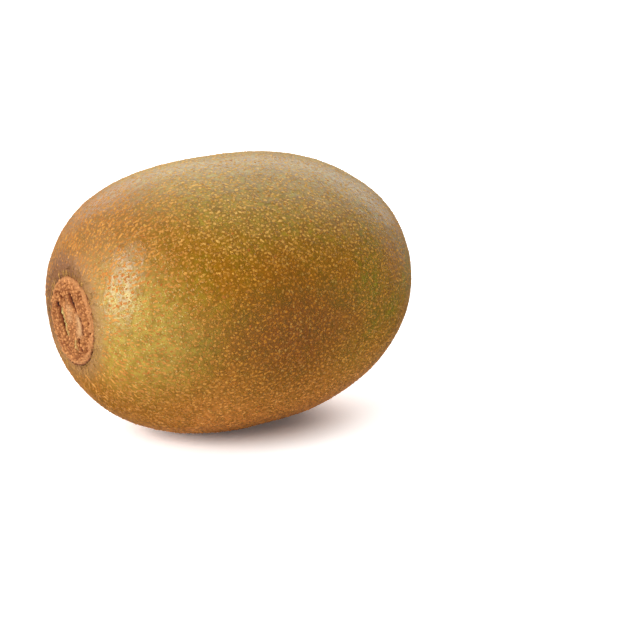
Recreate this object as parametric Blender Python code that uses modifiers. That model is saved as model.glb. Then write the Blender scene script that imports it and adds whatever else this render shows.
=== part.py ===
"""A whole golden kiwi fruit lying on its side, at rest on the small flat spot under it.

Three pieces: the fruit (skin and flesh grown as one), the corky scar where its stalk broke off, and the
dried styles of the flower at the other end. Metres, +Z up. X runs along the fruit, from the stem end at -X
to the blossom end at +X, and the origin is the centre of the floor area that the whole part covers.
"""

import math

import bmesh
import bpy
from mathutils import Matrix, Vector, noise

# ---- The fruit ------------------------------------------------------------------------------------------
WIDTH = 0.0530            # across Y, the widest way
HEIGHT_SHARE = 0.95       # a kiwi fruit is a little flatter than it is wide
STEM_HALF = 0.0349        # from the widest place to the stem end's pole
BLOSSOM_HALF = 0.0350     # from the widest place to the blossom end's pole
STEM_BLUNTNESS = (2.70, 2.32)      # exponents of the stem half's outline: a blunt shoulder
BLOSSOM_BLUNTNESS = (2.30, 2.07)   # exponents of the blossom half's outline: more of a taper
LOBE_SHARE = 0.005        # how far three low lobes, left by the carpels, stand out of the round section
LOBE_TURN = 0.57          # radians from +Y to the crest of the first lobe
END_LIFT = 0.0006         # how far both ends curve up from the middle
STEM_DIP = math.radians(2.0)       # the stem end lies lower than the blossom end
FLAT_DEPTH = 0.0004       # how much the resting side is pressed flat
TURN_STEPS = 72           # faces round the fruit
HALF_STATIONS = 20        # rings along each half of its outline

# ---- The stem end ---------------------------------------------------------------------------------------
GAP = 0.0003              # clearance between two pieces that touch
SCAR_RADIUS = 0.0079
SCAR_INSET = 0.0008       # from the pole down to the plane of the scar's rim
SCAR_THICKNESS = 0.0013
SCAR_DOME = 0.0004        # height of the cork ring over the scar's rim
SCAR_ROUNDING = 0.0003    # how far the rim itself falls away
STALK_RADIUS = 0.0040     # the round break of the stalk, inside the cork ring
FISSURE_WIDTH = 0.0011
FISSURE_DEPTH = 0.0007
GRAIN_SIZE = 0.0011       # width of one cork grain
GRAIN_HEIGHT = 0.00014
SCAR_STEPS = 60
SCAR_RINGS = 15
# Deep pits of the scar: (angle in degrees from +Y towards +Z, distance from the axis, radius, depth).
SCAR_PITS = (
    (41, 0.0050, 0.0008, 0.0007),
    (74, 0.0048, 0.0009, 0.0008),
    (128, 0.0044, 0.0010, 0.0008),
    (250, 0.0048, 0.0010, 0.0008),
    (300, 0.0061, 0.0008, 0.0005),
)

# ---- The blossom end ------------------------------------------------------------------------------------
PIT_RADIUS = 0.0034
PIT_DEPTH = 0.0010
BUTTON_RADIUS = 0.0015    # the small cushion that the styles stand on
BUTTON_HEIGHT = 0.0009
STYLE_COUNT = 16
STYLE_LENGTH = 0.0026
STYLE_RADIUS = 0.00032
STYLE_SIDES = 5

COLLECTION = "golden_kiwi_fruit"


# ---- Helpers --------------------------------------------------------------------------------------------
def empty_scene():
    """Removes every object, so that the model is all there is."""
    for old in list(bpy.data.objects):
        bpy.data.objects.remove(old)


def make_material(name, colour, roughness):
    material = bpy.data.materials.new(name)
    material.use_nodes = True
    shader = material.node_tree.nodes["Principled BSDF"]
    shader.inputs["Base Color"].default_value = (*colour, 1.0)
    shader.inputs["Roughness"].default_value = roughness
    shader.inputs["Metallic"].default_value = 0.0
    return material


def add_object(name, mesh, material, collection):
    made = bpy.data.objects.new(name, mesh)
    mesh.materials.clear()
    mesh.materials.append(material)
    collection.objects.link(made)
    return made


def smooth_step(low, high, value):
    share = min(1.0, max(0.0, (value - low) / (high - low)))
    return share * share * (3.0 - 2.0 * share)


def outline_radius(x):
    """The radius of the fruit's outline at the distance x from its widest place, before any settling."""
    half, (p, q) = (STEM_HALF, STEM_BLUNTNESS) if x < 0 else (BLOSSOM_HALF, BLOSSOM_BLUNTNESS)
    share = min(1.0, abs(x) / half)
    return WIDTH / 2 * (1.0 - share**p) ** (1.0 / q)


def settled(point):
    """Where a point of the round, straight fruit lies once the fruit has its grown shape and lies down."""
    x, y, z = point
    angle = math.atan2(z, y)
    lobes = 1.0 + LOBE_SHARE * math.cos(3.0 * (angle - LOBE_TURN))
    half = STEM_HALF if x < 0 else BLOSSOM_HALF
    bent = Vector((x, y * lobes, z * lobes * HEIGHT_SHARE + END_LIFT * (x / half) ** 2))
    return Matrix.Rotation(-STEM_DIP, 3, "Y") @ bent


def turned_mesh(name, profile, steps):
    """The mesh of an (x, radius) profile turned about X. The profile runs from +X to -X, end to end."""
    mesh = bpy.data.meshes.new(name + "_profile")
    mesh.from_pydata([(x, r, 0.0) for x, r in profile], [(i, i + 1) for i in range(len(profile) - 1)], [])
    guide = bpy.data.objects.new(name + "_profile", mesh)
    bpy.context.scene.collection.objects.link(guide)
    screw = guide.modifiers.new("turn", "SCREW")
    screw.axis = "X"
    screw.steps = screw.render_steps = steps
    screw.use_merge_vertices = True
    screw.merge_threshold = 0.000001
    graph = bpy.context.evaluated_depsgraph_get()
    turned = bpy.data.meshes.new_from_object(guide.evaluated_get(graph))
    turned.name = name
    bpy.data.objects.remove(guide)
    face_outwards(turned)
    return turned


def face_outwards(mesh):
    """Merges what coincides and turns every face of a closed mesh outwards."""
    work = bmesh.new()
    work.from_mesh(mesh)
    bmesh.ops.remove_doubles(work, verts=work.verts, dist=0.000001)
    bmesh.ops.recalc_face_normals(work, faces=work.faces)
    work.to_mesh(mesh)
    work.free()


# ---- The fruit ------------------------------------------------------------------------------------------
def fruit_profile():
    """The fruit's outline from the blossom pit to the socket of the stem scar."""
    pit = [
        (BLOSSOM_HALF - PIT_DEPTH - 0.0004, 0.0),
        (BLOSSOM_HALF - PIT_DEPTH - 0.0004, BUTTON_RADIUS * 0.5),
        (BLOSSOM_HALF - PIT_DEPTH - 0.0004, BUTTON_RADIUS),
        (BLOSSOM_HALF - PIT_DEPTH - 0.0002, BUTTON_RADIUS + 0.0006),
        (BLOSSOM_HALF - 0.0006, PIT_RADIUS - 0.0005),
    ]
    socket_radius = SCAR_RADIUS + GAP
    socket_floor = -STEM_HALF + SCAR_INSET + SCAR_THICKNESS + GAP
    flesh = []
    for i in range(2 * HALF_STATIONS + 1):
        angle = math.pi * i / (2 * HALF_STATIONS)
        x = math.cos(angle) * (BLOSSOM_HALF if angle < math.pi / 2 else STEM_HALF)
        radius = outline_radius(x)
        clear_of_pit = x < 0 or radius > PIT_RADIUS
        clear_of_socket = x > 0 or radius > socket_radius + 0.0008
        if clear_of_pit and clear_of_socket:
            flesh.append((x, radius))
    lip_x = -STEM_HALF + SCAR_INSET + 0.0001
    socket = [
        (lip_x, socket_radius + 0.0004),
        (lip_x + 0.0003, socket_radius),
        (socket_floor, socket_radius),
        (socket_floor, socket_radius * 0.5),
        (socket_floor, 0.0),
    ]
    return pit + flesh + socket


def press_flat(mesh):
    """Cuts the mesh off at the floor and closes it with one flat face."""
    work = bmesh.new()
    work.from_mesh(mesh)
    cut = bmesh.ops.bisect_plane(
        work,
        geom=[*work.verts, *work.edges, *work.faces],
        dist=0.0000001,
        plane_co=(0.0, 0.0, 0.0),
        plane_no=(0.0, 0.0, -1.0),
        clear_outer=True,
    )
    rim = [item for item in cut["geom_cut"] if isinstance(item, bmesh.types.BMEdge)]
    bmesh.ops.edgeloop_fill(work, edges=rim)
    bmesh.ops.recalc_face_normals(work, faces=work.faces)
    work.to_mesh(mesh)
    work.free()


# ---- The stem scar --------------------------------------------------------------------------------------
def scar_height(radius, angle):
    """The height of the scar's face over the plane of its rim, at a polar place on it."""
    dome = SCAR_DOME * math.sin(math.pi * min(1.0, radius / SCAR_RADIUS) ** 1.6)
    dome -= SCAR_ROUNDING * smooth_step(SCAR_RADIUS * 0.88, SCAR_RADIUS, radius)
    stalk_dish = 0.0002 * smooth_step(STALK_RADIUS, 0.0, radius)
    across = (radius - STALK_RADIUS) / (FISSURE_WIDTH / 2)
    bridged = 0.5 + 0.5 * math.cos(2.0 * angle)
    fissure = FISSURE_DEPTH * math.exp(-across * across) * (0.25 + 0.75 * bridged)
    pits = 0.0
    for degrees, distance, size, depth in SCAR_PITS:
        turn = math.radians(degrees)
        away = math.hypot(
            radius * math.cos(angle) - distance * math.cos(turn),
            radius * math.sin(angle) - distance * math.sin(turn),
        )
        pits = max(pits, depth * math.exp(-((away / size) ** 2) * 1.5))
    return dome - stalk_dish - max(fissure, pits)


def cork_grain(x, y, z):
    """A coarse, lumpy relief between -1 and 1 that repeats nothing."""
    place = Vector((x, y, z)) / GRAIN_SIZE
    return noise.noise(place) + 0.5 * noise.noise(place * 2.1)


def scar_profile():
    face_x = -STEM_HALF + SCAR_INSET
    back_x = face_x + SCAR_THICKNESS
    back = [(back_x, 0.0), (back_x, SCAR_RADIUS * 0.5), (back_x, SCAR_RADIUS - 0.0002)]
    face = [(face_x, SCAR_RADIUS * (1.0 - i / SCAR_RINGS)) for i in range(SCAR_RINGS + 1)]
    return back + face


def shape_scar(mesh):
    """Raises the ring, sinks the fissure and pits, and roughens the scar's face with cork grain."""
    face_x = -STEM_HALF + SCAR_INSET
    for vertex in mesh.vertices:
        x, y, z = vertex.co
        if x > face_x + 0.00001:
            continue
        radius, angle = math.hypot(y, z), math.atan2(z, y)
        grain = GRAIN_HEIGHT * cork_grain(x, y, z) * smooth_step(SCAR_RADIUS, SCAR_RADIUS * 0.9, radius)
        vertex.co.x = x - scar_height(radius, angle) - grain


# ---- The dried styles -----------------------------------------------------------------------------------
def style_curve(index):
    """The centre line of one withered style, rooted in the button and curling outwards."""
    turn = 2.0 * math.pi * (index + 0.3 * math.sin(2.7 * index)) / STYLE_COUNT
    length = STYLE_LENGTH * (0.80 + 0.20 * math.sin(4.1 * index))
    root_radius = BUTTON_RADIUS * (0.30 + 0.35 * (index % 2))
    rise = 0.55 + 0.20 * math.sin(1.9 * index)
    button_x = BLOSSOM_HALF - PIT_DEPTH
    points = []
    for share in (0.0, 0.25, 0.5, 0.75, 1.0):
        away = root_radius + length * 0.95 * share
        swirl = turn + 0.35 * share * share * math.sin(3.3 * index)
        height = button_x + 0.0002 + length * rise * math.sin(math.pi * 0.5 * share) * (1.0 - 0.25 * share)
        points.append(Vector((height, away * math.cos(swirl), away * math.sin(swirl))))
    return points


def tube_mesh(name, points, radius, end_share):
    """A tapering tube with few sides along the points, as a closed mesh."""
    work = bmesh.new()
    rings = []
    for i, point in enumerate(points):
        ahead = (points[min(i + 1, len(points) - 1)] - points[max(i - 1, 0)]).normalized()
        place = Matrix.Translation(point) @ ahead.to_track_quat("Z", "Y").to_matrix().to_4x4()
        thick = radius * (1.0 + (end_share - 1.0) * i / (len(points) - 1))
        ring = bmesh.ops.create_circle(work, segments=STYLE_SIDES, radius=thick, matrix=place)["verts"]
        rings.append(ring)
    for ring, following in zip(rings, rings[1:]):
        edges = [e for v in ring for e in v.link_edges if e.other_vert(v) in ring]
        edges += [e for v in following for e in v.link_edges if e.other_vert(v) in following]
        bmesh.ops.bridge_loops(work, edges=list(set(edges)))
    bmesh.ops.holes_fill(work, edges=work.edges, sides=STYLE_SIDES)
    bmesh.ops.recalc_face_normals(work, faces=work.faces)
    mesh = bpy.data.meshes.new(name)
    work.to_mesh(mesh)
    work.free()
    return mesh


def button_mesh():
    """The flattened cushion in the blossom pit that every style is rooted in."""
    work = bmesh.new()
    place = Matrix.Translation((BLOSSOM_HALF - PIT_DEPTH + BUTTON_HEIGHT * 0.4, 0.0, 0.0))
    squash = Matrix.Diagonal((BUTTON_HEIGHT * 0.5 / BUTTON_RADIUS, 1.0, 1.0, 1.0))
    turn = Matrix.Rotation(math.radians(90), 4, "Y")
    bmesh.ops.create_uvsphere(
        work, u_segments=20, v_segments=10, radius=BUTTON_RADIUS, matrix=place @ squash @ turn
    )
    mesh = bpy.data.meshes.new("button")
    work.to_mesh(mesh)
    work.free()
    return mesh


def styles_mesh():
    """The button and its styles, joined into one body by a Boolean union on their collection."""
    rods = bpy.data.collections.new("style_rods")
    bpy.context.scene.collection.children.link(rods)
    for index in range(STYLE_COUNT):
        mesh = tube_mesh(f"style_{index}", style_curve(index), STYLE_RADIUS, 0.75)
        rods.objects.link(bpy.data.objects.new(f"style_{index}", mesh))
    button = bpy.data.objects.new("button", button_mesh())
    bpy.context.scene.collection.objects.link(button)
    union = button.modifiers.new("join", "BOOLEAN")
    union.operation = "UNION"
    union.operand_type = "COLLECTION"
    union.collection = rods
    union.solver = "EXACT"
    union.use_self = True
    graph = bpy.context.evaluated_depsgraph_get()
    joined = bpy.data.meshes.new_from_object(button.evaluated_get(graph))
    for part in [*rods.objects, button]:
        bpy.data.objects.remove(part)
    bpy.data.collections.remove(rods)
    return joined


# ---- Putting it together --------------------------------------------------------------------------------
def settle(mesh):
    for vertex in mesh.vertices:
        vertex.co = settled(vertex.co)


def lowest(mesh):
    return min(vertex.co.z for vertex in mesh.vertices)


def middle_of(meshes):
    """The middle of the floor area that the meshes cover together."""
    places = [vertex.co for mesh in meshes for vertex in mesh.vertices]
    x_values = [place.x for place in places]
    y_values = [place.y for place in places]
    return Vector(((min(x_values) + max(x_values)) / 2, (min(y_values) + max(y_values)) / 2, 0.0))


def build():
    empty_scene()
    collection = bpy.data.collections.new(COLLECTION)
    bpy.context.scene.collection.children.link(collection)

    fruit = turned_mesh("fruit", fruit_profile(), TURN_STEPS)
    scar = turned_mesh("stem_scar", scar_profile(), SCAR_STEPS)
    shape_scar(scar)
    styles = styles_mesh()
    meshes = (fruit, scar, styles)
    for mesh in meshes:
        settle(mesh)

    lift = Matrix.Translation((0.0, 0.0, -lowest(fruit) - FLAT_DEPTH))
    for mesh in meshes:
        mesh.transform(lift)
    press_flat(fruit)
    centre = Matrix.Translation(-middle_of(meshes))
    for mesh in meshes:
        mesh.transform(centre)

    skin = make_material("skin", (0.32, 0.20, 0.045), 0.45)
    cork = make_material("cork", (0.45, 0.19, 0.07), 0.90)
    withered = make_material("withered_styles", (0.09, 0.05, 0.025), 0.85)
    for name, mesh, material in (
        ("fruit", fruit, skin),
        ("stem_scar", scar, cork),
        ("dried_styles", styles, withered),
    ):
        mesh.shade_smooth()
        mesh.set_sharp_from_angle(angle=math.radians(40))
        add_object(name, mesh, material, collection)


build()
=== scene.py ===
# %% [markdown]
# # Dressing a golden kiwi fruit
#
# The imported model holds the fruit's true size: one solid for skin and flesh, one for the corky scar where the
# stalk broke off, and one for the withered styles of the flower. This lesson gives each of them the surface
# of a real fruit, some sixty times finer than the solids, and then sets it on a white table in soft light.

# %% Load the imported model
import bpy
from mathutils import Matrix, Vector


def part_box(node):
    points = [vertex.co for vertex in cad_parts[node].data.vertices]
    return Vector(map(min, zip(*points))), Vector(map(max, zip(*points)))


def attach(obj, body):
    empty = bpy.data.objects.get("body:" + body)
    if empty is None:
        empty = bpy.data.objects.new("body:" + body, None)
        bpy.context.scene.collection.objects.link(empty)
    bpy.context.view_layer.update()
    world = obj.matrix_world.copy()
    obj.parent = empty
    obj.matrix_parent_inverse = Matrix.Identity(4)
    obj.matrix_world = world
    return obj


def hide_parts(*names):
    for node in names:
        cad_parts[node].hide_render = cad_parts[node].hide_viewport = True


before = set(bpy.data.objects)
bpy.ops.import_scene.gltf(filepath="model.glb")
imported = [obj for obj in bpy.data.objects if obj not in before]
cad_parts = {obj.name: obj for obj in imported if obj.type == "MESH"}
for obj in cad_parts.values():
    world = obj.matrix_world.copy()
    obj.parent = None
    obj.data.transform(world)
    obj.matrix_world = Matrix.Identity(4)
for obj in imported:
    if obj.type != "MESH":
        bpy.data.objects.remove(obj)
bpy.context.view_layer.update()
print("packed nodes:", sorted(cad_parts))

# %% Libraries
import itertools
import math
import random

import bmesh
import bpy
from mathutils import Matrix, Vector, noise
from mathutils.bvhtree import BVHTree
from mathutils.kdtree import KDTree

MM = 0.001
random.seed(26)

# %% [markdown]
# ## The shape of the fruit
#
# A kiwi fruit is close to a ball that was pulled long and made a little blunt. Its outline is a superellipse:
# (distance along / half length) to one power plus (radius / half width) to another power makes 1. The stem
# half is blunter than the blossom half, so each has powers of its own. The numbers are those of the solids,
# because the skin has to lie where the solid lies.

# %% Sizes of the fruit
HALF_WIDTH = 26.5 * MM
HEIGHT_SHARE = 0.95
STEM_HALF = 34.9 * MM
BLOSSOM_HALF = 35.0 * MM
STEM_BLUNTNESS = (2.70, 2.32)
BLOSSOM_BLUNTNESS = (2.30, 2.07)
LOBE_SHARE = 0.005
LOBE_TURN = 0.57
END_LIFT = 0.6 * MM
STEM_DIP = math.radians(2.0)

SCAR_RADIUS = 7.9 * MM
SCAR_FACE = -STEM_HALF + 0.8 * MM     # the plane of the scar's rim, along the fruit
SCAR_THICKNESS = 1.3 * MM
SCAR_BACK_INSET = 0.2 * MM            # how much narrower the scar's back is than its rim
PIT_RADIUS = 3.4 * MM                 # the blossom pit
PIT_FLOOR = BLOSSOM_HALF - 1.4 * MM
SOLVING_STEPS = 8                     # enough for the outline's equation to settle
print("fruit, mm:", round((STEM_HALF + BLOSSOM_HALF) / MM, 1), "long,", round(2 * HALF_WIDTH / MM, 1), "wide")

# %% From the round fruit to the settled one
def smooth_step(low, high, value):
    share = min(1.0, max(0.0, (value - low) / (high - low)))
    return share * share * (3.0 - 2.0 * share)


def body_reach(direction):
    """How far the round fruit reaches from its middle along a unit direction, by Newton's rule."""
    on_stem_side = direction.x < 0
    half, powers = (STEM_HALF, STEM_BLUNTNESS) if on_stem_side else (BLOSSOM_HALF, BLOSSOM_BLUNTNESS)
    along = abs(direction.x) / half
    across = math.hypot(direction.y, direction.z) / HALF_WIDTH
    reach = 1.0 / max(along, across)
    for _ in range(SOLVING_STEPS):
        end_part = (reach * along) ** powers[0]
        side_part = (reach * across) ** powers[1]
        reach -= (end_part + side_part - 1.0) * reach / (powers[0] * end_part + powers[1] * side_part)
    return reach


def settled(place):
    """Where a place of the round fruit lies once it has its lobes and bend and lies on its side."""
    x, y, z = place
    lobes = 1.0 + LOBE_SHARE * math.cos(3.0 * (math.atan2(z, y) - LOBE_TURN))
    half = STEM_HALF if x < 0 else BLOSSOM_HALF
    bent = Vector((x, y * lobes, z * lobes * HEIGHT_SHARE + END_LIFT * (x / half) ** 2))
    return Matrix.Rotation(-STEM_DIP, 3, "Y") @ bent


print("reach straight up, mm:", round(body_reach(Vector((0.0, 0.0, 1.0))) / MM, 2))

# %% [markdown]
# ## The fruit's middle
#
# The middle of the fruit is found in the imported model's own coordinates. Its height and side come from the
# box of the fruit, and its place along the fruit from the back of the scar, a flat plane that nothing hides.

# %% Find the fruit's middle
fruit_low, fruit_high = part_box("fruit")
scar_low, scar_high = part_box("stem_scar")
turns = [math.radians(degrees) for degrees in range(0, 360, 2)]
back_radius = SCAR_RADIUS - SCAR_BACK_INSET
scar_back_rim = [
    settled((SCAR_FACE + SCAR_THICKNESS, math.cos(turn) * back_radius, math.sin(turn) * back_radius))
    for turn in turns
]
crown_line = [
    settled(direction * body_reach(direction))
    for direction in (Vector((math.sin(turn) * 0.3, 0.0, 1.0)).normalized() for turn in turns)
]
middle = Vector((
    scar_high.x - max(place.x for place in scar_back_rim),
    (fruit_low.y + fruit_high.y) / 2,
    fruit_high.z - max(place.z for place in crown_line),
))
print("middle of the fruit, mm:", [round(value / MM, 2) for value in middle])

# %% [markdown]
# ## The camera
#
# The fruit is seen from its stem end's side and a little from above, through a long lens that keeps the
# shape honest. The camera aims beside the fruit, which leaves the right of the picture empty.

# %% Camera
VIEW_AZIMUTH = math.radians(-35.29)
VIEW_ELEVATION = math.radians(14.07)
VIEW_DISTANCE = 336.6 * MM
VIEW_ANGLE = math.radians(20.0)
AIM_RIGHT = 15.82 * MM
AIM_DOWN = 5.71 * MM

view_back = Vector((
    math.sin(VIEW_AZIMUTH) * math.cos(VIEW_ELEVATION),
    -math.cos(VIEW_AZIMUTH) * math.cos(VIEW_ELEVATION),
    math.sin(VIEW_ELEVATION),
))
view_right = Vector((math.cos(VIEW_AZIMUTH), math.sin(VIEW_AZIMUTH), 0.0))
view_up = view_back.cross(view_right)

camera = bpy.data.objects.new("camera", bpy.data.cameras.new("camera"))
bpy.context.scene.collection.objects.link(camera)
camera.data.angle = VIEW_ANGLE
camera.data.clip_start = 0.01
camera.location = middle + view_back * VIEW_DISTANCE + view_right * AIM_RIGHT - view_up * AIM_DOWN
camera.rotation_mode = "QUATERNION"
camera.rotation_quaternion = (-view_back).to_track_quat("-Z", "Y")
bpy.context.scene.camera = camera
print("camera height, mm:", round(camera.location.z / MM, 1))

# %% [markdown]
# ## The skin
#
# A ball made of squares has no poles, so its faces stay even all over, and a fine relief looks the same at
# the flank and at the ends. A cube is cut into a grid and blown up to a ball, and each corner is then pushed
# out to the fruit's outline. Low, wide noise keeps the outline from looking turned on a lathe.

# %% A ball of even squares
def square_ball(cuts_first, cuts_next):
    """A closed ball of square faces: a cube, cut twice into a grid and blown up."""
    ball = bmesh.new()
    bmesh.ops.create_cube(ball, size=2.0)
    for cuts in (cuts_first, cuts_next):
        bmesh.ops.subdivide_edges(ball, edges=ball.edges, cuts=cuts, use_grid_fill=True)
    for corner in ball.verts:
        even = [math.tan(value * math.pi / 4) for value in corner.co]
        corner.co = Vector(even).normalized()
    return ball


# %% Relief of the skin
SWELL_HEIGHT = 0.22 * MM      # wide, low unevenness
SWELL_SIZE = 11.0 * MM
DIMPLE_HEIGHT = 0.07 * MM     # the size of an orange peel's dimples
DIMPLE_SIZE = 2.6 * MM
RIM_GROOVE = 0.45 * MM        # the skin pulls in where it meets the scar,
GROOVE_PLACE = 0.25 * MM      # this far outside its rim
GROOVE_WIDTH = 0.8 * MM
SOCKET_DEPTH = 1.9 * MM       # the seat below the scar
END_SHARE = 0.6               # the ends begin at this share of each half
SCAR_STRETCH = (0.97, 1.055)  # the scar is a little taller than wide,
SCAR_DROP = 0.45 * MM         # and sits a little low
SKIN_CUTS = (29, 3)           # each side of the cube is cut to 30 by 30 squares, and each of those to 4 by 4


def from_scar_axis(y, z):
    """Distance from the scar's middle, measured so that its slightly oval rim is at the scar's radius."""
    return math.hypot(y / SCAR_STRETCH[0], (z + SCAR_DROP) / SCAR_STRETCH[1])


def skin_relief(spot):
    """Height of the skin over the plain outline, at a spot of the round fruit."""
    height = SWELL_HEIGHT * noise.noise(spot / SWELL_SIZE)
    height += DIMPLE_HEIGHT * noise.noise(spot / DIMPLE_SIZE)
    from_axis = math.hypot(spot.y, spot.z)
    if spot.x < -END_SHARE * STEM_HALF:
        from_rim = from_scar_axis(spot.y, spot.z) - SCAR_RADIUS
        groove = (from_rim - GROOVE_PLACE) / GROOVE_WIDTH
        height -= RIM_GROOVE * math.exp(-groove * groove)
        height -= SOCKET_DEPTH * smooth_step(0.15 * MM, -0.6 * MM, from_rim)
    elif spot.x > END_SHARE * BLOSSOM_HALF:
        height -= (BLOSSOM_HALF - PIT_FLOOR) * smooth_step(PIT_RADIUS, PIT_RADIUS * 0.4, from_axis)
    return height


def skin_place(direction):
    """A place on the finished skin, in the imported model's coordinates."""
    spot = direction * body_reach(direction)
    return middle + settled(spot + direction * skin_relief(spot))


# %% Make the skin
def add_piece(name, work, smooth_angle=math.radians(180)):
    """Turns a finished bmesh into an object at the origin."""
    bmesh.ops.recalc_face_normals(work, faces=work.faces)
    mesh = bpy.data.meshes.new(name)
    work.to_mesh(mesh)
    work.free()
    mesh.shade_smooth()
    mesh.set_sharp_from_angle(angle=smooth_angle)
    piece = bpy.data.objects.new(name, mesh)
    bpy.context.scene.collection.objects.link(piece)
    mesh.calc_loop_triangles()
    print(f"{name}: {len(mesh.loop_triangles)} triangles")
    return piece


skin_work = square_ball(*SKIN_CUTS)
for corner in skin_work.verts:
    corner.co = skin_place(corner.co)
    corner.co.z = max(0.0, corner.co.z)    # the resting side is pressed flat by the table
skin_work.normal_update()
skin_tree = BVHTree.FromBMesh(skin_work)
fruit_skin = add_piece("fruit_skin", skin_work)

# %% [markdown]
# ## The corky scar
#
# The stalk leaves a round plate of cork behind. It has a grainy outer ring, a broken crack around the stub of
# the stalk, deep slots where the woody strands tore, and a lumpy middle. A line from the middle to the rim is
# spun into a plate with fine rings, and then each corner is raised or sunk by a height formula, which costs
# less than sculpting and lets the paint know how deep each place lies.

# %% Sizes of the scar
SCAR_DOME = 0.4 * MM
GRAIN_SIZE = 0.70 * MM
GRAIN_HEIGHT = 0.34 * MM
SCAR_RINGS = 90
SCAR_STEPS = 260
DEEP = 0.9 * MM               # the depth of the deepest slots
PIT_COUNT = 130
# Torn slots: the points of each middle line, (across, up) in mm, then the width and the share of the depth.
SLOTS = (
    (((3.55, 1.4), (3.65, 0.3), (3.40, -0.8), (2.70, -2.1), (1.85, -3.4)), 0.50, 1.0),
    (((3.20, 4.3), (2.80, 3.2)), 0.65, 1.0),
    (((4.50, 1.9), (4.30, 1.5)), 0.65, 0.9),
    (((2.00, 3.5), (1.50, 2.9)), 0.50, 0.8),
    (((-0.40, 4.4), (-0.90, 3.4), (-1.70, 2.0)), 0.95, 1.0),
    (((-2.70, 0.6), (-3.50, 0.6)), 0.70, 1.0),
    (((-2.80, -0.4), (-3.20, -1.8)), 2.40, 0.42),
    (((-3.60, 0.4), (-4.20, -0.5), (-4.35, -1.4), (-4.00, -2.3)), 0.80, 0.66),
    (((-2.75, -3.7), (-3.10, -4.4), (-3.60, -5.3)), 0.75, 1.0),
    (((1.50, -5.6), (0.30, -6.3), (-0.90, -6.8)), 0.50, 0.45),
    (((5.10, 0.8), (5.00, -0.8), (4.60, -2.6)), 0.35, 0.35),
    (((0.60, 5.3), (-0.80, 5.5)), 0.35, 0.35),
)
# Green flesh that shows through the cork, and pale bare wood, as lines of the same kind.
GREEN_LINES = (
    (((3.00, 1.1), (3.00, 0.2), (2.75, -0.8), (2.10, -2.1), (1.40, -3.2)), 0.85, 1.0),
    (((-1.90, -3.9), (-1.70, -4.7), (-2.30, -5.4)), 0.70, 0.7),
    (((1.10, 3.2), (1.00, 2.8)), 0.60, 0.6),
)
WOOD_LINES = (
    (((-2.20, -0.2), (-2.60, -1.0), (-2.80, -1.9)), 1.9, 1.0),
    (((0.60, 1.6), (0.90, -0.2)), 1.6, 0.6),
)
print(len(SLOTS), "slots,", PIT_COUNT, "pits")


# %% Height of the scar
def near_line(place, line):
    """How close a place, in millimetres, is to a drawn line: from 1 on its middle to 0 beside it."""
    points, width, strength = line
    nearest = math.inf
    for start, end in zip(points, points[1:]):
        run = Vector(end) - Vector(start)
        away = place - Vector(start)
        share = min(1.0, max(0.0, away.dot(run) / run.length_squared))
        nearest = min(nearest, (away - run * share).length)
    return strength * math.exp(-0.7 * (nearest / (width / 2)) ** 2)    # about half at the edge of the line


def scar_pits():
    """Small pits in the grainy outer ring: place in millimetres, radius, share of depth."""
    pits = []
    for _ in range(PIT_COUNT):
        turn, reach = random.uniform(0.0, math.tau), SCAR_RADIUS / MM * random.uniform(0.55, 0.93)
        across = reach * math.cos(turn) * SCAR_STRETCH[0]
        up = reach * math.sin(turn) * SCAR_STRETCH[1] - SCAR_DROP / MM
        pits.append((Vector((across, up)), random.uniform(0.12, 0.28), random.uniform(0.2, 0.7)))
    return pits


PITS = scar_pits()


def wobble(place, size, lift):
    """A random shift of a place in the scar's plane, so that no line on it is drawn with a ruler."""
    spot = place.to_3d() / size
    return Vector((noise.noise(spot), noise.noise(spot + Vector((0, 0, lift)))))


def scar_hollow(place):
    """Share of the full depth at a place of the scar, in millimetres, from its slots and pits."""
    wander = 0.22 * wobble(place, 0.9, 7)
    hollow = max(near_line(place + wander, line) for line in SLOTS)
    for centre, radius, depth in PITS:
        away = (place + wander - centre).length_squared / (radius * radius)
        if away < 6.0:
            hollow = max(hollow, depth * math.exp(-away))
    return hollow


def grains(place, size):
    """Rounded lumps that lie side by side, from 0 in the seams to 1 on the tops."""
    bend = 0.25 * wobble(place, 1 / 1.3, 5)
    distances, _ = noise.voronoi((place + bend).to_3d() / (size / MM))
    return min(1.0, (distances[1] - distances[0]) * 1.6)


def scar_face(place, reach):
    """Height of the scar's face over the plane of its rim, without its hollows. Reach is 1 at the rim."""
    ring = smooth_step(0.45, 0.62, reach)
    height = SCAR_DOME * math.sin(math.pi * min(1.0, reach) ** 1.6)       # the ring is domed,
    height -= 0.45 * MM * smooth_step(0.92, 1.0, reach)                   # its rim falls away,
    height -= 0.25 * MM * smooth_step(0.52, 0.2, reach)                   # and the middle lies lower
    height += GRAIN_HEIGHT * (0.4 + 0.6 * ring) * (grains(place, GRAIN_SIZE) - 0.5)
    height += GRAIN_HEIGHT * 0.5 * (grains(place + Vector((3.0, 8.0)), GRAIN_SIZE * 0.45) - 0.5)
    height += 0.22 * MM * noise.noise(place.to_3d() / 1.9)                # wide unevenness
    return height


print("depth of the longest slot, share:", round(scar_hollow(Vector((3.65, 0.3))), 2))


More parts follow.
